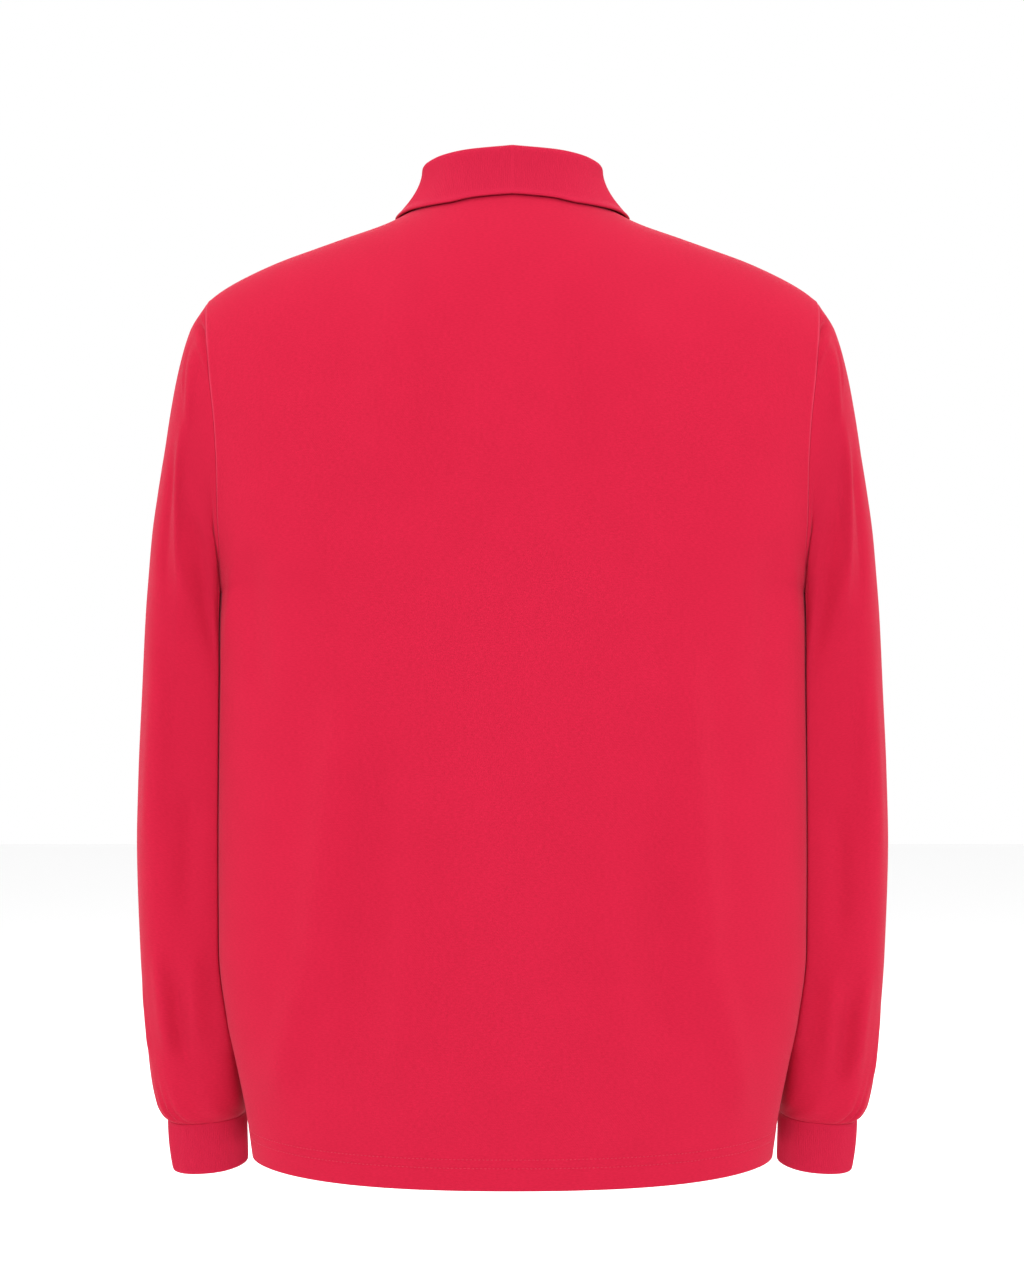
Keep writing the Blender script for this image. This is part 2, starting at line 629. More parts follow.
def panel_grid(side):
    """The outer surface of a body panel, and how far it has come up and across the cloth."""
    count = PANEL_HALF_COLUMNS + len(RIM)
    up = np.concatenate([RIM[::-1], np.linspace(RIM[0], UNDERARM_Z - HEM_Z, PANEL_LOWER_ROWS)[1:-1]])
    near = [row + step for row in HEM_ROWS for step in DIP_LINES]
    clear = np.all(np.abs(up[:, None] - HEM_ROWS) > DIP_CLEAR, axis=1)
    up = np.unique(np.concatenate([up[clear], near]))
    lower = []
    for height in up:
        t = column_t(lower_points(side, DENSE, np.full_like(DENSE, HEM_Z + height)))
        hem = HEM_Z + HEM_RISE * t ** 4
        lower.append(lower_points(side, t, hem + (UNDERARM_Z - hem) * height / (UNDERARM_Z - HEM_Z)))
    rises = 1 - (1 - np.linspace(0, 1, 60)) ** 2.4
    by_rise = np.array([column_t(upper_points(side, DENSE, np.full_like(DENSE, rise)))
                        for rise in np.minimum(rises, 0.9995)])

    def t_at(rise):
        return np.array([np.interp(rise[j], rises, by_rise[:, j]) for j in range(count)])

    top = neck_rise(side, t_at, count)
    upper = []
    for j in range(count):
        rise = top[j] * rises[:, None]
        line = upper_points(side, np.interp(rise, rises, by_rise[:, j]), rise)[:, 0]
        length = lengths(line)
        wanted = np.concatenate([np.linspace(0, length[-1] - RIM[0], PANEL_UPPER_ROWS, endpoint=False),
                                 length[-1] - RIM])
        rise = refine(length, rises * top[j], wanted)
        upper.append(upper_points(side, np.interp(rise, rises, by_rise[:, j]), rise))
    half = soften(np.concatenate([np.array(lower), np.array(upper).transpose(1, 0, 2)]))
    return np.concatenate([half[:, :0:-1] * (-1, 1, 1), half], axis=1), up


def soften(grid):
    """Even out the depth of a panel where the armhole begins, so that no line shows there."""
    even = grid[..., :2].copy()
    for _ in range(EVENINGS):
        even[1:-1] += (even[2:] + even[:-2] - 2 * even[1:-1]) / 4
    share = ease(1 - np.abs(grid[..., 2:] - UNDERARM_Z) / SOFTENED)
    inside = np.clip(np.arange(grid.shape[1], 0, -1) / len(RIM) / 2 - 0.5, 0, 1)[:, None]
    grid[..., :2] += (even - grid[..., :2]) * share * inside
    return grid


def refine(length, rise, wanted):
    """Rises at the wanted lengths. Close to the ridge they follow the curve of the dome."""
    left = np.maximum(rise[-1] - rise, 0) ** (1 / EDGE_ROUNDNESS)
    return rise[-1] - np.interp(wanted, length, left) ** EDGE_ROUNDNESS


def dress_panel(side):
    """The points and normals of a body panel, with its folds, hem band and needle rows."""
    grid, up = panel_grid(side)
    centres = grid * (0, 0, 1) - (0, 0, CENTRE_DROP)
    normals = grid_normals(grid, centres=centres)
    flatten(normals, np.abs(grid[..., 1]) < 1e-6, (0, 1, 0))
    folds = BACK_FOLDS if side == BACK else FRONT_FOLDS
    lift = ridges(folds, ("head_x", "head_z", "foot_x", "foot_z"), grid[..., 0], grid[..., 2])
    lift *= np.minimum(np.abs(grid[..., 1]) / FOLD_FADE, 1) * shirt().fold_strength
    band = np.zeros(len(grid))
    band[:len(up)] = HEM_BAND * (1 - np.tanh((up - HEM_ROWS[1]) / HEM_BAND_EDGE)) / 2
    for row in HEM_ROWS:
        band[:len(up)] -= SEWN_DIP * bell(up - row, DIP_REACH / 2)
    across = grid_lengths(grid, 1)
    inset = np.minimum(across, across[:, -1:] - across)
    height = grid[..., 2]
    line = np.interp(-height, SLEEVE["down"], SLEEVE["half_depth"] + side * SLEEVE["middle_y"])
    from_line = np.abs(np.abs(grid[..., 1]) - line * (1 - tuck(height)))
    bead = SEAM_BEAD * bell(inset - SEAM_BEAD_PLACE, SEAM_BEAD_WIDTH)
    bead *= np.clip((height - UNDERARM_Z) / FOLD_FADE, 0, 1)
    if side == BACK:
        inset = np.where(height < WORN_LINE_TOP, np.minimum(inset, from_line / 2), inset)
    grid = grid + (lift + bead + band[:, None])[..., None] * normals
    grid[..., 1] -= side * SEAM_OVERLAP
    return grid, normals, up, inset


def make_panel(name, side):
    grid, normals, up, inset = dress_panel(side)
    rows, cols = grid.shape[:2]
    across = grid_lengths(grid, 1)
    across -= across[:, cols // 2:cols // 2 + 1]
    upwards = grid_lengths(grid, 0)
    fullness = np.minimum(rounding(rim_distance(rows))[:, None], rounding(rim_distance(cols), SEAM_LEFT))
    piece = build_wall(name, grid, normals, PIQUE, fullness, np.stack([across, upwards], axis=-1),
                       finish("pique_knit"), inset=inset)
    rows_sewn = [int(np.argmin(np.abs(up - row))) for row in HEM_ROWS]
    sewing = [stitch_run(grid[i], normals[i], shirt().stitch_pitch) for i in rows_sewn]
    thread = add_stitches("hem_stitches_" + name, sewing)


# Sleeves and cuffs

# Angles round a sleeve: 0 on its outer edge, 90 behind, 180 against the body, 270 in front
ROUND = np.linspace(-np.pi, np.pi, 720, endpoint=False)
ACROSS = np.cos(ROUND)


def plain_ring(row):
    inner = EDGE_ROUNDNESS + (row["roundness"] - EDGE_ROUNDNESS) * TIGHTER
    roundness = EDGE_ROUNDNESS + (inner - EDGE_ROUNDNESS) * (1 - ACROSS) / 2
    behind = row["half_depth"] * np.sign(np.sin(ROUND)) * falloff(ACROSS, roundness)
    x, z = ((row["outer_" + k] + row["inner_" + k] + (row["outer_" + k] - row["inner_" + k]) * ACROSS) / 2
            for k in "xz")
    return np.stack([x, row["middle_y"] + behind, z - math.tan(math.radians(row["tilt"])) * behind], axis=1)


def sleeve_row(down):
    row = {name: float(smooth(SLEEVE, "down", name, down)) for name in SLEEVE if name != "down"}
    row["outer_z"] = -down
    return row


def armhole_ring():
    rise = (1 + ACROSS) / 2
    back = upper_points(BACK, np.ones_like(rise), rise)
    front = upper_points(FRONT, np.ones_like(rise), rise)
    return np.where((np.sin(ROUND) >= 0)[:, None], back, front) + (ARMHOLE_GAP, 0, 0)


def body_side(y, z):
    """How far out the side of the body lies, carried on over the armhole as if it weren't cut."""
    rise = np.clip((z - UNDERARM_Z) / (RIDGE["z"][-1] - UNDERARM_Z), 0, 1)
    depth = np.where(y > 0, smooth(BODY, "z", "back_depth", z), smooth(BODY, "z", "front_depth", z))
    depth = depth * falloff(np.minimum(rise, SIDE_TOP), EDGE_ROUNDNESS)
    half_width = np.where(z < UNDERARM_Z, smooth(BODY, "z", "half_width", z),
                          smooth(REACH, "rise", "half_width", rise))
    power = np.where(z < UNDERARM_Z, smooth(BODY, "z", "squareness", z), squareness(rise))
    return half_width * falloff(y / depth, power)


def tuck(z):
    """How much shallower the inner side of a sleeve is at a height."""
    return TUCK * bell(z - TUCK_Z, TUCK_REACH)


def beside_body(ring):
    """A ring that keeps clear of the side of the body, and whose inner side leans against it."""
    x, y, z = ring.T
    inner = np.clip(-1.5 * ACROSS, 0, 1)
    y = y * (1 - tuck(z) * inner)
    side_x = body_side(y, z) + BODY_CLEARANCE
    spare = x - side_x
    gap = (spare + np.hypot(spare, CLEARANCE_SOFTNESS)) / 2
    gap = gap * gap / (gap + LEAN * inner * np.interp(z, LEAN_HEIGHTS, (0, 1, 1, 0)))
    near = np.interp(z, LEAN_HEIGHTS[2:], (1, 0))
    return np.stack([x + (side_x + gap - x) * near, y, z], axis=1)


def sleeve_downs():
    """How far down the rings lie: finer over the cap and over the cuff, with rims at both seams."""
    down = np.linspace(SLEEVE_TOP, SLEEVE_END, 2000)
    outer = np.stack([smooth(SLEEVE, "down", "outer_x", down), -down], axis=1)
    length = lengths(outer)
    total = length[-1]
    wanted = np.concatenate([
        RIM[::-1], np.arange(RIM[0] + SLEEVE_FINE, CAP_FINE, SLEEVE_FINE),
        np.arange(CAP_FINE + FINE_GAP, total - CUFF_FINE - FINE_GAP, SLEEVE_COARSE),
        np.arange(total - CUFF_FINE, total - RIM[0] - SLEEVE_FINE / 2, SLEEVE_FINE), total - RIM])
    return np.interp(wanted, length, down)


def even_ring(ring, count, crowding=0.0):
    """A closed ring with its points spread along it, crowded towards its first point. Also how far
    round its new points lie, and its old ones."""
    closed = np.concatenate([ring, ring[:1]])
    length = lengths(closed)
    part = np.arange(count + 1) / count
    part -= crowding * np.sin(2 * np.pi * part) / (2 * np.pi)
    return along(closed, part[:-1] * length[-1]), part * length[-1], length


def sleeve_grid(downs):
    """The rings of a sleeve, and how far round each of their points lies from the outer edge."""
    bow = armhole_ring() - plain_ring(sleeve_row(SLEEVE_TOP))
    rings, rounds = [], []
    for down in downs:
        fade = max(0.0, 1 - (down - SLEEVE_TOP) / (FAN - SLEEVE_TOP)) ** 2
        ring = plain_ring(sleeve_row(down)) + bow * fade
        ring += (beside_body(ring) - ring) * min(1.0, (down - SLEEVE_TOP) / SEAM_FREE)
        even, part, length = even_ring(ring, SLEEVE_COLUMNS, INNER_CROWDING)
        rings.append(even)
        rounds.append(part - length[len(ROUND) // 2])
    return np.array(rings), np.array(rounds)


def sleeve_lift(grid, downs, rounds, swap):
    """How far the folds and the gathers move the cloth of a sleeve."""
    down = np.broadcast_to(downs[:, None], rounds.shape)
    rounds = rounds * (1 + swap)
    keys = ("head_down", "head_round", "foot_down", "foot_round")
    lift = ridges(SLEEVE_FOLDS, keys, down * (1 - swap) + SLEEVE_TOP * swap, rounds) * shirt().fold_strength
    from_outline = smooth(SLEEVE, "down", "outer_x", -grid[..., 2]) - grid[..., 0]
    lift *= ease(from_outline / OUTLINE_CALM) * np.clip((down - SLEEVE_TOP) / PUCKER_START, 0.1, 1)
    for k in range(len(GATHERS["round"])):
        up = (SLEEVE_END - down) / GATHERS["reach"][k]
        swell = np.clip(up * GATHER_START, 0, 1) * bell(up, 1) * GATHER_PEAK
        lift += GATHERS["height"][k] * swell * bell(rounds - GATHERS["round"][k], GATHERS["half_width"][k])
    return lift


def make_sleeve(side_name, mirror, swap):
    """One sleeve. swap varies the folds, so that the two sleeves aren't mirror images."""
    name = "sleeve_" + side_name
    downs = sleeve_downs()
    grid, rounds = sleeve_grid(downs)
    normals = grid_normals(grid, closed=True)
    flatten(normals, 0, (1, 0, 0))
    flatten(normals, -1, cuff_axis())
    lift = sleeve_lift(grid, downs, rounds[:, :-1], swap)
    grid = grid + lift[..., None] * normals
    upwards = lengths(grid[:, SLEEVE_COLUMNS // 2])
    cloth = np.stack([rounds, np.broadcast_to(upwards[:, None], rounds.shape)], axis=-1)
    fullness = rounding(rim_distance(len(grid)), SEAM_LEFT)[:, None] * np.ones(SLEEVE_COLUMNS)
    piece = build_wall(name, grid * mirror, normals * mirror, PIQUE, fullness, cloth, finish("pique_knit"),
                       closed=True)


def cuff_axis():
    """The direction in which the cuff runs down from its seam, square to the seam's plane."""
    ring = plain_ring(sleeve_row(SLEEVE_END))[::len(ROUND) // 4]
    axis = np.cross(ring[2] - ring[0], ring[3] - ring[1])
    return axis * (-np.sign(axis[2]) / np.linalg.norm(axis))


def make_cuff(side_name, mirror):
    """One rib cuff: its ribs run down it, and stand out on both faces."""
    name = "cuff_" + side_name
    seam = sleeve_row(SLEEVE_END)
    height = seam["outer_z"] - CUFF_FREE["outer_z"]
    total = even_ring(plain_ring(seam), 4)[2][-1]
    count = POINTS_PER_RIB * round(total / shirt().rib_pitch)
    downs = np.concatenate([RIM[::-1], np.linspace(RIM[0], height - RIM[0], 15)[1:-1], height - RIM])
    rings = []
    for down in downs:
        part = down / height
        row = {key: seam[key] + (CUFF_FREE[key] - seam[key]) * part for key in CUFF_FREE}
        swell = CUFF_SWELL * math.sin(math.pi * part)
        row["outer_x"] += swell
        row["half_depth"] += swell
        rings.append(even_ring(plain_ring(row), count)[0])
    grid = np.array(rings)
    normals = grid_normals(grid, closed=True)
    flatten(normals, slice(None), cuff_axis())
    wave = rib_wave(np.cos(2 * np.pi * np.arange(count) / POINTS_PER_RIB))
    distance = rim_distance(len(downs))
    depth = shirt().rib_height * np.clip(distance / CUFF_FLAT, 0.15, 1)
    grid = grid + (wave[None, :] * depth[:, None])[..., None] * normals
    around = np.broadcast_to(np.arange(count + 1) * total / count, (len(downs), count + 1))
    cloth = np.stack([around, np.broadcast_to(downs[:, None], around.shape)], axis=-1)
    fullness = rounding(distance)[:, None] * np.ones(count)
    piece = build_wall(name, grid * mirror, normals * mirror, RIB, fullness, cloth, finish("rib_knit"),
                       closed=True)


def rib_wave(wave):
    """A cosine from -1 to 1 turned into flattened ribs with furrows between them."""
    return wave * (1 - RIB_FLATNESS) + RIB_FLATNESS * np.sign(wave)


# Collar

def neckline(angle):
    """The edge of the body panels round the neck, by the angle from the centre back."""
    x_share, y_share = np.sin(angle), np.cos(angle)
    depth = np.where(y_share >= 0, NECK_DEPTH[BACK], NECK_DEPTH[FRONT])
    radius = 1 / np.hypot(x_share / NECK_HALF_WIDTH, y_share / depth)
    x, y = radius * x_share, radius * y_share
    return np.stack([x, y, shoulder_height(x, y)], axis=1)


def collar_lines(degrees):
    """The middle line of the collar at each angle: up the stand, over the fold, down the fall."""
    turn = np.abs(degrees)
    *fold, edge_x, edge_y = (smooth(COLLAR, "angle", name, turn) for name in list(COLLAR)[1:])
    angle = np.radians(turn)
    neck = neckline(angle) + (0, 0, COLLAR_SEAT)
    fold = np.stack(fold, axis=1)
    outward = np.stack([np.sin(angle), np.cos(angle), np.zeros_like(angle)], axis=1)
    drop = np.array((0, 0, -FOLD_RADIUS))
    stand_top = fold - FOLD_RADIUS * outward + drop
    fall_top = fold + FOLD_RADIUS * outward + drop
    edge = on_shoulder(edge_x, edge_y, RIB / 2 + FALL_CLEARANCE)
    lines = [neck + (stand_top - neck) * part for part in STAND_LINES]
    for a in np.radians(np.linspace(-90, 90, 9)):
        lines.append(fold + FOLD_RADIUS * (math.sin(a) * outward + np.array((0, 0, math.cos(a) - 1))))
    length = np.linalg.norm(edge - fall_top, axis=1).mean()
    parts = np.concatenate([np.linspace(0, 1 - PLAIN_EDGE / length, 13)[1:],
                            1 - np.array((PLAIN_LINE, *RIM)) / length])
    for part in parts:
        spread = part ** FALL_FLARE
        lines.append(fall_top + (edge - fall_top) * (spread, spread, part))
    grid = np.array(lines).transpose(1, 0, 2)
    grid[..., 0] *= np.where(degrees < 0, -1, 1)[:, None]
    return grid


def make_collar():
    """One flat-knit strip of rib, sewn to the neckline and folded over, with a plain free edge."""
    last = COLLAR["angle"][-1]
    coarse = np.linspace(-last, last, 721)
    fold = np.stack([smooth(COLLAR, "angle", "fold_" + k, np.abs(coarse)) for k in "xyz"], axis=1)
    fold[:, 0] *= np.sign(coarse)
    length = lengths(fold)
    ribs = round(length[-1] / shirt().rib_pitch)
    count = POINTS_PER_RIB * ribs + 1
    wanted = np.linspace(0, length[-1], count)
    wanted = np.sort(np.concatenate([wanted, COLLAR_RIM, length[-1] - COLLAR_RIM]))
    degrees = np.interp(wanted, length, coarse)
    grid = collar_lines(degrees)
    normals = grid_normals(grid)
    outward = grid[len(grid) // 2, -4] - grid[len(grid) // 2, 2]
    if np.dot(normals[len(grid) // 2, -4], outward) < 0:
        normals = -normals
    wave = rib_wave(np.round(np.cos(2 * np.pi * wanted / length[-1] * ribs), 6))
    across = lengths(grid[len(grid) // 2])
    free = across[-1] - across
    depth = shirt().rib_height * np.clip((free - PLAIN_EDGE) / RIB_START + 1, 0, 1)
    depth *= np.clip(across / COLLAR_FLAT, 0.1, 1)
    from_end = np.minimum(wanted, length[-1] - wanted)
    edge = np.minimum(from_end / COLLAR_END, 1)
    bead = EDGE_BEAD * bell(free - EDGE_BEAD_PLACE, EDGE_BEAD_WIDTH)
    lift = wave[:, None] * depth * edge[:, None] + bead
    fullness = np.minimum(rounding(from_end)[:, None], rounding(np.minimum(free, across + RIM_RADIUS)))
    surface = grid + (RIB / 2 + lift)[..., None] * normals
    cloth = np.stack(np.broadcast_arrays(wanted[:, None], across[None, :]), axis=-1)
    piece = build_wall("collar", surface, normals, RIB, fullness, cloth, finish("rib_knit"))


# Placket and buttons

def front_strip(low):
    """A grid on the outside of the front, from a height up to the neckline, and its normals."""
    rims = RIM[::-1]
    half_width = PLACKET_HALF_WIDTH
    between = np.linspace(RIM[0] - half_width, half_width - RIM[0], STRIP_COLUMNS)[1:-1]
    x = np.concatenate([rims - half_width, between, half_width - RIM])

    def outside(rise):
        return past_neckline(FRONT, x, upper_depth(FRONT, x, rise))
    top = upper_height(x, bisect(outside, np.full_like(x, 0.3), np.ones_like(x)))
    height = top.max() - low
    between = np.arange(RIM[0] + STRIP_ROW, height - RIM[0] - STRIP_ROW / 2, STRIP_ROW)
    up = np.concatenate([rims, between, height - RIM])
    z = low + (top - low) * (up / height)[:, None]
    rise = (z - UNDERARM_Z) / (smooth(RIDGE, "x", "z", np.abs(x)) - UNDERARM_Z)
    xs = np.broadcast_to(x, z.shape)
    grid = np.stack([xs, -upper_depth(FRONT, xs, rise), z], axis=-1)
    normals = grid_normals(grid)
    return grid, normals * np.where(normals[..., 1:2] > 0, -1, 1), x, up


def make_strip(name, lift):
    grid, normals, x, up = front_strip(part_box(name)[0][2])
    if lift > 0:
        from_row = PLACKET_HALF_WIDTH - np.abs(x) - TOPSTITCH_INSET
        lift = lift - SEWN_DIP * bell(from_row, DIP_REACH / 2) * (up > 0)[:, None]
    outer = grid + np.broadcast_to(lift, grid.shape[:2])[..., None] * normals
    fullness = np.minimum(rounding(rim_distance(len(up)))[:, None], rounding(rim_distance(len(x))))
    cloth = np.stack(np.broadcast_arrays(x, up[:, None]), axis=-1)
    piece = build_wall(name, outer, normals, PIQUE, fullness, cloth, finish("pique_knit"))
    return piece, outer, normals, x, up


def make_placket():
    """The outer strip with its topstitching and buttonholes, and the strip under it."""
    piece, outer, normals, x, up = make_strip("placket_top", SEAM + PIQUE)
    columns = [int(np.argmin(np.abs(x - s * (PLACKET_HALF_WIDTH - TOPSTITCH_INSET)))) for s in (-1, 1)]
    start = int(np.argmin(np.abs(up - TOPSTITCH_INSET)))
    box_top = int(np.argmin(np.abs(up - BOX_HEIGHT)))
    pitch = shirt().stitch_pitch * TOPSTITCH_SHARE
    runs = [stitch_run(outer[start:, c], normals[start:, c], pitch) for c in columns]
    inside = slice(columns[0], columns[1] + 1)
    runs += [stitch_run(outer[r, inside], normals[r, inside], pitch) for r in (start, box_top)]
    for flip in (False, True):
        steps = np.linspace(0, 1, 24)
        cols = np.round(columns[0] + (columns[1] - columns[0]) * (1 - steps if flip else steps)).astype(int)
        rows = np.round(start + (box_top - start) * steps).astype(int)
        runs.append(stitch_run(outer[rows, cols], normals[rows, cols], pitch))
    thread = add_stitches("placket_stitches", runs)
    holes = add_stitches("buttonholes", buttonhole_runs(outer, normals, x), BAR_LENGTH, BAR_RADIUS)
    piece, outer = make_strip("placket_under", -PIQUE - SEAM)[:2]


def strip_point(outer, normals, x, z):
    """The point and the normal of the placket's outer face on its middle line at a height."""
    middle = int(np.argmin(np.abs(x)))
    heights = outer[:, middle, 2]
    point = np.array([np.interp(z, heights, outer[:, middle, k]) for k in range(3)])
    normal = np.array([np.interp(z, heights, normals[:, middle, k]) for k in range(3)])
    point[0] = 0
    normal[0] = 0
    return point, normal / np.linalg.norm(normal)


def button_seats():
    """The middle of each button's box, from the top down."""
    seats = []
    for number in (1, 2, 3):
        low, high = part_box("button_%d" % number)
        seats.append([(a + b) / 2 for a, b in zip(low, high)])
    return seats


def buttonhole_runs(outer, normals, x):
    """Close satin stitches round a slit, for each buttonhole: a list of points, tangents, normals."""
    runs = []
    for seat in button_seats():
        point, normal = strip_point(outer, normals, x, seat[2])
        upward = np.cross((1, 0, 0), normal)
        upward *= np.sign(upward[2])
        sideways = np.array((1.0, 0, 0))
        for side in (-1, 1):
            steps = np.linspace(-BUTTONHOLE_HALF_LENGTH, BUTTONHOLE_HALF_LENGTH, SIDE_BARS)
            places = point + steps[:, None] * upward + side * BUTTONHOLE_HALF_WIDTH * sideways
            runs.append((places, np.tile(sideways, (SIDE_BARS, 1)), np.tile(normal, (SIDE_BARS, 1))))
        for end in (-1, 1):
            places = point + end * (BUTTONHOLE_HALF_LENGTH + END_BAR_OFFSET) * upward
            across = np.linspace(-1.2, 1.2, END_BARS)[:, None] * BUTTONHOLE_HALF_WIDTH * sideways
            runs.append((places + across, np.tile(upward, (END_BARS, 1)), np.tile(normal, (END_BARS, 1))))
    return runs


def make_button(number, seat):
    """A turned four-hole button with a rolled rim and a dished face, sewn on with two threads."""
    name = "button_%d" % number
    normal = button_normal(name)
    turn = normal.to_track_quat("Z", "Y").to_matrix().to_4x4()
    turn.translation = Vector(seat) - normal * BUTTON_THICKNESS / 2
    dish = BUTTON_THICKNESS - BUTTON_DISH
    rolled = [(BUTTON_RADIUS - BUTTON_RIM + BUTTON_RIM * math.cos(a),
               BUTTON_THICKNESS - BUTTON_RIM + BUTTON_RIM * math.sin(a))
              for a in np.radians(np.linspace(-30, 130, 9))]
    profile = [(0.0, 0.0), (BUTTON_RADIUS * 0.72, 0.0), (BUTTON_RADIUS * 0.93, 0.0005), *rolled,
               (BUTTON_RADIUS - 2.4 * BUTTON_RIM, dish + 0.00012), (BUTTON_RADIUS - 3.2 * BUTTON_RIM, dish),
               (0.0, dish - 0.0001)]
    mesh = bmesh.new()
    points = [mesh.verts.new((r, 0, z)) for r, z in profile]
    edges = [mesh.edges.new(pair) for pair in zip(points, points[1:])]
    bmesh.ops.spin(mesh, geom=points + edges, axis=(0, 0, 1), cent=(0, 0, 0), steps=56, angle=math.tau)
    bmesh.ops.remove_doubles(mesh, verts=mesh.verts, dist=1e-6)
    bmesh.ops.recalc_face_normals(mesh, faces=mesh.faces)
    disc = add_bmesh(name, mesh, finish("button_plastic"))
    for k in range(4):
        angle = math.radians(45 + 90 * k)
        drill = bmesh.new()
        bmesh.ops.create_cone(drill, cap_ends=True, segments=20, radius1=HOLE_RADIUS, radius2=HOLE_RADIUS,
                              depth=4 * BUTTON_THICKNESS)
        bmesh.ops.translate(drill, verts=drill.verts,
                            vec=(HOLE_OFFSET * math.cos(angle), HOLE_OFFSET * math.sin(angle), 0))
        cutter = add_bmesh("cutter", drill, finish("button_plastic"))
        cut = disc.modifiers.new("hole", "BOOLEAN")
        cut.operation = "DIFFERENCE"
        cut.object = cutter
        apply_modifiers(disc)
        bpy.data.objects.remove(cutter)
    disc.data.shade_smooth()
    disc.data.set_sharp_from_angle(angle=math.radians(35))
    disc.data.transform(turn)
    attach(disc, "root")
    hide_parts(name)
    runs = [thread_run(turn, side, dish) for side in (-1, 1)]
    add_stitches("thread_" + name, runs, THREAD_LENGTH, THREAD_RADIUS)


def thread_run(turn, side, dish):
    """Three strands of thread from hole to hole, beside each other."""
    places = [turn @ Vector((side * HOLE_OFFSET * math.sqrt(0.5) + strand, 0, dish + THREAD_LIFT))
              for strand in np.linspace(-THREAD_SPREAD, THREAD_SPREAD, 3)]
    tangent, normal = (list(turn.to_3x3().col[k]) for k in (1, 2))
    return np.array(places), np.tile(tangent, (3, 1)), np.tile(normal, (3, 1))


def button_normal(name):
    """The way a button's solid faces: the sum of its faces that look to the front."""
    solid = next(thing for thing in bpy.data.objects if thing.get("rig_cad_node") and name in thing.name)
    total = sum((face.normal * face.area for face in solid.data.polygons if face.normal.y < 0), Vector())
    return total.normalized()


def add_bmesh(name, mesh, look):
    data = bpy.data.meshes.new(name)
    mesh.to_mesh(data)
    mesh.free()
    data.materials.append(look)
    return place(name, data)


def apply_modifiers(piece):
    graph = bpy.context.evaluated_depsgraph_get()
    done = bpy.data.meshes.new_from_object(piece.evaluated_get(graph))
    piece.modifiers.clear()
    piece.data = done


# Sewing

def stitch_run(points, normals, pitch):
    """Places, tangents and normals of the stitches along a line on the cloth."""
    total = lengths(points)[-1]
    count = max(2, int(total / pitch))
    wanted = (np.arange(count) + 0.5) * total / count
    places = along(points, wanted)
    tangents = along(points, wanted + pitch / 4) - along(points, wanted - pitch / 4)
    tangents /= np.maximum(np.linalg.norm(tangents, axis=1, keepdims=True), 1e-9)
    return places, tangents, along(points, wanted, normals)


def add_stitches(name, runs, length=None, radius=None):
    """One mesh of small spindles of thread, whose ends dip into the cloth."""
    length = length or shirt().stitch_pitch * STITCH_SHARE
    radius = radius or shirt().thread_radius
    sides = 6
    profile = ((-0.5, 0.25, -0.8), (-0.3, 0.85, 0.1), (0.0, 1.0, 0.45), (0.3, 0.85, 0.1), (0.5, 0.25, -0.8))
    places, tangents, facing = (np.concatenate([run[k] for run in runs])[:, None] for k in range(3))
    turn = np.linspace(0, 2 * np.pi, sides, endpoint=False)[:, None]
    round_it = np.cos(turn) * np.cross(tangents, facing) + np.sin(turn) * facing
    rings = [places + tangents * step * length + facing * height * radius + radius * size * round_it
             for step, size, height in profile]
    points = np.stack(rings, axis=1).reshape(-1, 3)
    spindle = np.arange(len(profile) * sides).reshape(-1, sides)
    starts = (np.arange(len(places)) * spindle.size)[:, None, None]
    faces = []
    for part in (cells(spindle[:, [*range(sides), 0]]), np.stack([spindle[0, ::-1], spindle[-1]])):
        faces += (part + starts).reshape(-1, part.shape[1]).tolist()
    data = bpy.data.meshes.new(name)
    data.from_pydata(points.tolist(), [], faces)
    data.shade_smooth()
    data.materials.append(finish("sewing_thread"))
    piece = place(name, data)
    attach(piece, "root")
    return piece


# Finishes

class Value:
    """A socket of a material, so that shader maths reads as ordinary expressions."""

    def __init__(self, look, socket):
        self.look = look
        self.socket = socket

    def maths(self, operation, first, second=None):
        values = [first] if second is None else [first, second]
        return self.look.node("ShaderNodeMath", {"operation": operation}, dict(enumerate(values)))

    def __add__(self, other):
        return self.maths("ADD", self, other)

    def __sub__(self, other):
        return self.maths("SUBTRACT", self, other)

    def __rsub__(self, other):
        return self.maths("SUBTRACT", other, self)

    def __mul__(self, other):
        return self.maths("MULTIPLY", self, other)

    __radd__ = __add__
    __rmul__ = __mul__

    def sine(self):
        return self.maths("SINE", self)


class Look:
    """A material whose nodes are added by one method."""

    def __init__(self, name):
        self.material = bpy.data.materials.new(name)
        self.material.use_nodes = True
        self.tree = self.material.node_tree
        self.shader = self.tree.nodes["Principled BSDF"]

    def node(self, kind, settings=None, inputs=None, output=0):
        """Add a node, set it up, then fill its sockets with numbers, colours or links."""
        made = self.tree.nodes.new(kind)
        for key, value in (settings or {}).items():
            setattr(made, key, value)
        for key, value in (inputs or {}).items():
            self.fill(made.inputs[key], value)
        return Value(self, made.outputs[output])

    def fill(self, socket, value):
        if isinstance(value, Value):
            self.tree.links.new(value.socket, socket)
        else:
            socket.default_value = value

    def set(self, inputs):
        for key, value in inputs.items():
            self.fill(self.shader.inputs[key], value)

    def mix(self, share, first, second):
        """A colour between two, each a tuple or a socket."""
        ends = [end if isinstance(end, Value) else (*end, 1) for end in (first, second)]
        return self.node("ShaderNodeMix", {"data_type": "RGBA"}, {0: share, 6: ends[0], 7: ends[1]}, 2)


def cloth_coordinates(look):
    """Where a point lies in the cloth: as a vector, and how far across and along it in metres."""
    cloth = look.node("ShaderNodeUVMap", {"uv_map": "cloth"})
    across = look.node("ShaderNodeSeparateXYZ", inputs={0: cloth})
    return cloth, across, Value(look, across.socket.node.outputs[1])


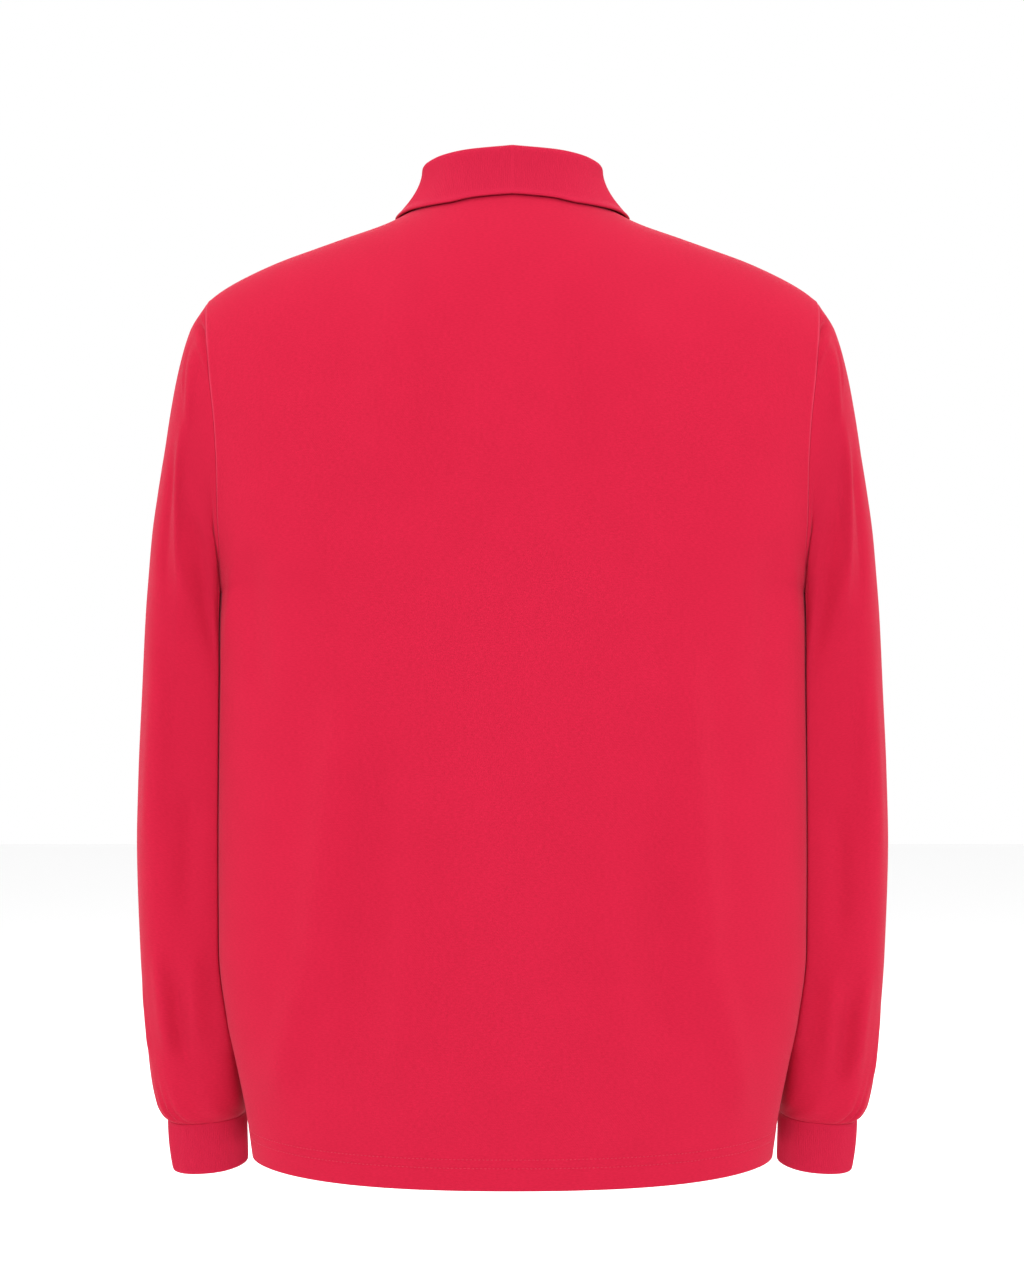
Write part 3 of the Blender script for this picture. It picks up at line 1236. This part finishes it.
def noise(look, scale, detail, **more):
    return look.node("ShaderNodeTexNoise", {"noise_dimensions": "2D"} if "Vector" in more else None,
                     {"Scale": scale, "Detail": detail, **more})


def finish_knit(look, colour, relief, strength, distance, roughness, sheen):
    """A matt cloth of that colour, with its stitches as a fine relief and a sheen of loose fibres."""
    bump = look.node("ShaderNodeBump", inputs={"Strength": strength, "Distance": distance, "Height": relief})
    look.set({"Base Color": colour, "Roughness": roughness, "Normal": bump, "Specular IOR Level": 0.12,
              "Sheen Weight": sheen, "Sheen Roughness": 0.30, "Sheen Tint": SHEEN_TINT})
    return look.material


def shade(colour, factor):
    return tuple(channel * factor for channel in colour)


def tint(colour, factors):
    return tuple(channel * factor for channel, factor in zip(colour, factors))


def pique_finish():
    """Piqué: rows of small raised honeycombs between finer knitted courses."""
    sizes = shirt()
    look = Look("pique_knit")
    cloth, across, along_cloth = cloth_coordinates(look)
    wale = (across * (math.tau / sizes.knit_pitch)).sine()
    course = (along_cloth * (math.tau / (sizes.knit_pitch * 0.9))).sine()
    fine = (along_cloth * (math.tau / (sizes.knit_pitch * 0.45))).sine()
    cells_of_knit = wale * course * 0.5 + 0.5
    drawn_out = look.node("ShaderNodeVectorMath", {"operation": "MULTIPLY"}, {0: cloth, 1: (0.3, 1.0, 1.0)})
    yarn = noise(look, 1100.0, 2.0, Vector=drawn_out, Roughness=0.6)
    slub = noise(look, 26.0, 3.0, Vector=cloth, Roughness=0.55)
    tone = yarn * 0.70 + slub * 0.15 + cells_of_knit * 0.15
    colour = look.mix(tone, tint(sizes.cloth_colour, GRAIN_DARK), tint(sizes.cloth_colour, GRAIN_LIGHT))
    inset = look.node("ShaderNodeSeparateXYZ", inputs={0: look.node("ShaderNodeUVMap", {"uv_map": "inset"})})
    near = look.node("ShaderNodeMath", {"operation": "SUBTRACT", "use_clamp": True},
                     {0: 1.0, 1: inset * (1 / SEAM_WORN)})
    colour = look.mix(near * 0.6, colour, tuple(sizes.seam_colour))
    relief = cells_of_knit * 0.8 + fine * 0.12 + yarn * 0.35
    return finish_knit(look, colour, relief, strength=0.55, distance=0.00025, roughness=0.88, sheen=0.08)


def rib_finish():
    """Rib knit: its ribs are modelled, and the courses of its stitches lie across them."""
    sizes = shirt()
    look = Look("rib_knit")
    cloth, across, along_cloth = cloth_coordinates(look)
    loops = (along_cloth * (math.tau / RIB_LOOP)).sine() * (across * (math.tau / RIB_LOOP)).sine()
    yarn = noise(look, 1100.0, 2.0, Vector=cloth, Roughness=0.6)
    tone = yarn * 0.7 + loops * 0.15 + 0.15
    colour = look.mix(tone, tint(sizes.rib_colour, GRAIN_DARK), tint(sizes.rib_colour, GRAIN_LIGHT))
    return finish_knit(look, colour, loops * 0.5 + yarn * 0.4, strength=0.45, distance=0.0002, roughness=0.9,
                       sheen=0.14)


def thread_finish():
    look = Look("sewing_thread")
    grain = noise(look, 2500.0, 1.0)
    colour = look.mix(grain, shade(shirt().thread_colour, 0.85), shade(shirt().thread_colour, 1.1))
    look.set({"Base Color": colour, "Roughness": 0.7, "Sheen Weight": 0.1, "Specular IOR Level": 0.2})
    return look.material


def button_finish():
    """Dyed plastic with a faint cloud in it."""
    look = Look("button_plastic")
    cloud = noise(look, 320.0, 3.0, Distortion=0.6)
    colour = look.mix(cloud, shade(shirt().button_colour, 0.85), shade(shirt().button_colour, 1.15))
    look.set({"Base Color": colour, "Roughness": cloud * 0.12 + 0.24, "Coat Weight": 0.15,
              "Coat Roughness": 0.2, "Specular IOR Level": 0.5})
    return look.material


def floor_finish():
    look = Look("studio_floor")
    colour = look.mix(noise(look, 3.0, 2.0), shade(shirt().floor_colour, 0.99), tuple(shirt().floor_colour))
    look.set({"Base Color": colour, "Roughness": 0.9, "Specular IOR Level": 0.2})
    return look.material


FINISHES = {"pique_knit": pique_finish, "rib_knit": rib_finish, "sewing_thread": thread_finish,
            "button_plastic": button_finish, "studio_floor": floor_finish}


def finish(name):
    """The material of that name, made when it is first asked for."""
    return bpy.data.materials.get(name) or FINISHES[name]()


# Stage

def make_camera():
    data = bpy.data.cameras.new("camera")
    data.sensor_fit = "VERTICAL"
    data.sensor_height = SENSOR
    data.lens = SENSOR * CAMERA_DISTANCE / (IMAGE_HEIGHT * PIXEL)
    camera = place("camera", data)
    camera.location = (CAMERA_X, CAMERA_DISTANCE, CAMERA_Z)
    camera.rotation_euler = (math.radians(90), 0, math.radians(180))
    bpy.context.scene.camera = camera


def make_light(name, where, size, power):
    data = bpy.data.lights.new(name, "AREA")
    data.shape = "SQUARE"
    data.size = size
    data.energy = power
    lamp = place(name, data)
    lamp.location = where
    lamp.rotation_euler = (Vector(LIT_POINT) - Vector(where)).to_track_quat("-Z", "Y").to_euler()


def make_stage():
    """A pale floor well under the shirt, a white world, and large soft lights all round."""
    corners = [(FLOOR_HALF_SIZE * x, FLOOR_HALF_SIZE * y, FLOOR_Z)
               for x, y in ((-1, -1), (1, -1), (1, 1), (-1, 1))]
    data = bpy.data.meshes.new("studio_floor")
    data.from_pydata(corners, [], [(0, 1, 2, 3)])
    data.materials.append(finish("studio_floor"))
    place("studio_floor", data)
    world = bpy.data.worlds.new("studio")
    world.use_nodes = True
    background = world.node_tree.nodes["Background"]
    background.inputs["Color"].default_value = (1, 1, 1, 1)
    background.inputs["Strength"].default_value = shirt().sky_strength
    bpy.context.scene.world = world
    power = shirt().light_power
    for name, side in (("back", 1), ("front", -1)):
        make_light(name + "_fill", (0, side * 2.8, 1.0), 1.4, power * 1.8)
        for hand, x in (("left", 2.4), ("right", -2.4)):
            make_light("%s_%s_softbox" % (name, hand), (x, side * 0.55, 0.6), 1.0, power * 0.5)
    make_light("top_softbox", (0, 0.1, 2.1), 2.0, power)
    bpy.context.scene.view_settings.view_transform = "Standard"
    make_camera()


# Add-on

class ShirtSizes(bpy.types.PropertyGroup):
    """What a user would change"""
    rib_pitch: FloatProperty(name="Rib pitch", description="From one rib to the next", default=0.0015,
                             min=0.0008, max=0.004, unit="LENGTH")
    rib_height: FloatProperty(name="Rib height", description="How far the ribs stand out", default=0.00022,
                              min=0.0, max=0.001, unit="LENGTH")
    knit_pitch: FloatProperty(name="Knit pitch", description="From one honeycomb of the cloth to the next",
                              default=0.0012, min=0.0005, max=0.004, unit="LENGTH")
    stitch_pitch: FloatProperty(name="Stitch pitch", description="From one sewn stitch to the next",
                                default=0.0030, min=0.001, max=0.008, unit="LENGTH")
    thread_radius: FloatProperty(name="Thread radius", description="Half the thickness of the thread",
                                 default=0.00026, min=0.0001, max=0.001, unit="LENGTH")
    fold_strength: FloatProperty(name="Fold strength", description="How deep the soft folds are",
                                 default=1.0, min=0.0, max=2.0, subtype="FACTOR")
    cloth_colour: FloatVectorProperty(name="Cloth", description="Colour of body and sleeves",
                                      default=(0.430, 0.0072, 0.0325), subtype="COLOR", min=0, max=1)
    rib_colour: FloatVectorProperty(name="Rib", description="Colour of collar and cuffs",
                                    default=(0.430, 0.0092, 0.0375), subtype="COLOR", min=0, max=1)
    seam_colour: FloatVectorProperty(name="Seam edge", description="Colour of the cloth beside a seam",
                                     default=(0.60, 0.050, 0.100), subtype="COLOR", min=0, max=1)
    thread_colour: FloatVectorProperty(name="Thread", description="Colour of the sewing thread",
                                       default=(0.46, 0.011, 0.041), subtype="COLOR", min=0, max=1)
    button_colour: FloatVectorProperty(name="Buttons", description="Colour of the buttons",
                                       default=(0.44, 0.0125, 0.043), subtype="COLOR", min=0, max=1)
    floor_colour: FloatVectorProperty(name="Floor", description="Colour of the floor",
                                      default=(0.94, 0.94, 0.94), subtype="COLOR", min=0, max=1)
    sky_strength: FloatProperty(name="Sky strength", description="Strength of the white world",
                                default=1.0, min=0.0, max=4.0)
    light_power: FloatProperty(name="Light power", description="Power of one softbox", default=26.0,
                               min=0.0, max=500.0, unit="POWER")


def shirt():
    return bpy.context.scene.polo_shirt


class POLO_OT_body(bpy.types.Operator):
    """Make the back and the front, with their folds and their sewn hem"""
    bl_idname = "polo.body"
    bl_label = "Body panels"

    def execute(self, context):
        make_panel("back", BACK)
        make_panel("front", FRONT)
        return {"FINISHED"}


class POLO_OT_sleeves(bpy.types.Operator):
    """Make the two sleeves, creased at the cap and gathered over the cuff"""
    bl_idname = "polo.sleeves"
    bl_label = "Sleeves"

    def execute(self, context):
        make_sleeve("left", (1, 1, 1), 0.0)
        make_sleeve("right", (-1, 1, 1), 0.035)
        return {"FINISHED"}


class POLO_OT_cuffs(bpy.types.Operator):
    """Make the two rib cuffs"""
    bl_idname = "polo.cuffs"
    bl_label = "Cuffs"

    def execute(self, context):
        make_cuff("left", (1, 1, 1))
        make_cuff("right", (-1, 1, 1))
        return {"FINISHED"}


class POLO_OT_collar(bpy.types.Operator):
    """Make the folded rib collar"""
    bl_idname = "polo.collar"
    bl_label = "Collar"

    def execute(self, context):
        make_collar()
        return {"FINISHED"}


class POLO_OT_placket(bpy.types.Operator):
    """Make the placket with its topstitching and buttonholes"""
    bl_idname = "polo.placket"
    bl_label = "Placket"

    def execute(self, context):
        make_placket()
        return {"FINISHED"}


class POLO_OT_buttons(bpy.types.Operator):
    """Make the buttons and the thread that holds them"""
    bl_idname = "polo.buttons"
    bl_label = "Buttons"

    def execute(self, context):
        for number, seat in enumerate(button_seats(), start=1):
            make_button(number, seat)
        return {"FINISHED"}


class POLO_OT_stage(bpy.types.Operator):
    """Make the floor, the lights and the camera"""
    bl_idname = "polo.stage"
    bl_label = "Stage"

    def execute(self, context):
        make_stage()
        return {"FINISHED"}


class POLO_PT_panel(bpy.types.Panel):
    """Sizes, colours and pieces of the shirt"""
    bl_idname = "POLO_PT_panel"
    bl_label = "Polo shirt"
    bl_space_type = "VIEW_3D"
    bl_region_type = "UI"
    bl_category = "Polo shirt"

    def draw(self, context):
        for name in ShirtSizes.__annotations__:
            self.layout.prop(context.scene.polo_shirt, name)
        for operator in OPERATORS:
            self.layout.operator(operator.bl_idname)


OPERATORS = (POLO_OT_stage, POLO_OT_body, POLO_OT_sleeves, POLO_OT_cuffs, POLO_OT_collar,
             POLO_OT_placket, POLO_OT_buttons)
CLASSES = (ShirtSizes, *OPERATORS, POLO_PT_panel)


def register():
    for kind in CLASSES:
        bpy.utils.register_class(kind)
    bpy.types.Scene.polo_shirt = PointerProperty(type=ShirtSizes)


def unregister():
    del bpy.types.Scene.polo_shirt
    for kind in reversed(CLASSES):
        bpy.utils.unregister_class(kind)


def main():
    register()
    for operator in OPERATORS:
        getattr(bpy.ops.polo, operator.bl_idname.split(".")[1])()


if __name__ == "__main__":
    main()
